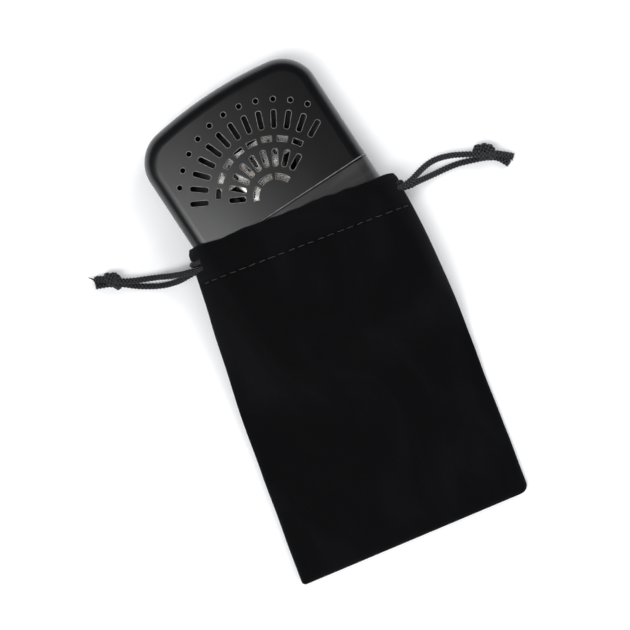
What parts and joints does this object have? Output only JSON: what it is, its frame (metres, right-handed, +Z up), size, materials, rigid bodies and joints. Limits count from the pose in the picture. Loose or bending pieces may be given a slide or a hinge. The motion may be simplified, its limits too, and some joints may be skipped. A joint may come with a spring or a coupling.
{
  "type": "catalytic hand warmer",
  "caption": "Flat pocket catalytic hand warmer with a pull-off vented cap over its burner, half slid into a drawstring velvet pouch.",
  "frame": {"origin": "on the ground plane, below the middle of the warmer's closed bottom end", "axes": "+Y along the warmer from its closed bottom end to the top of its cap, +Z up from the ground, the warmer's pierced front face up"},
  "size_m": [0.152, 0.1789, 0.0209],
  "materials": {
    "black_satin": "satin black plating",
    "nickel_plate": "polished nickel plate",
    "steel_mesh": "fine pressed steel",
    "brass": "bare brass",
    "cotton": "loose cotton wool",
    "felt": "dense wool felt",
    "catalyst": "coated glass wool",
    "velvet": "short pile velvet",
    "thread": "twisted sewing thread",
    "cord": "round braided cord"
  },
  "bodies": {
    "pouch": {"pouch_front_panel": "velvet", "pouch_back_panel": "velvet", "hem_front": "velvet", "hem_back": "velvet", "hem_stitches_front": "thread", "hem_stitches_back": "thread", "seam_allowance_left": "velvet", "seam_allowance_right": "velvet", "seam_allowance_bottom": "velvet", "drawcord_left_in_hem": "cord", "drawcord_right_in_hem": "cord", "drawcord_left_upper_strand": "cord", "drawcord_left_lower_strand": "cord", "drawcord_right_upper_strand": "cord", "drawcord_right_lower_strand": "cord", "knot_left": "cord", "knot_right": "cord"},
    "tank": {"tank_shell": "black_satin", "tank_collar": "nickel_plate", "filler_neck": "nickel_plate", "wick_felt": "felt", "cotton_batt_front": "cotton", "cotton_batt_middle": "cotton", "cotton_batt_back": "cotton"},
    "burner": {"burner_socket": "nickel_plate", "burner_frame": "nickel_plate", "burner_top_plate": "nickel_plate", "burner_grille_front": "nickel_plate", "burner_grille_back": "nickel_plate", "grille_rivets_front": "brass", "grille_rivets_back": "brass", "catalyst_pad": "catalyst", "catalyst_gauze_front": "steel_mesh", "catalyst_gauze_back": "steel_mesh"},
    "cap": {"cap_shell": "black_satin"}
  },
  "joints": [
    {"name": "warmer_slide", "type": "slide", "parent": "pouch", "child": "tank", "axis": [0, 1, 0], "range_m": [0, 0.065]},
    {"name": "cap_lift", "type": "slide", "parent": "tank", "child": "cap", "axis": [0, 1, 0], "range_m": [0, 0.04]},
    {"name": "burner_pull", "type": "slide", "parent": "tank", "child": "burner", "axis": [0, 1, 0], "range_m": [0, 0.012]}
  ]
}
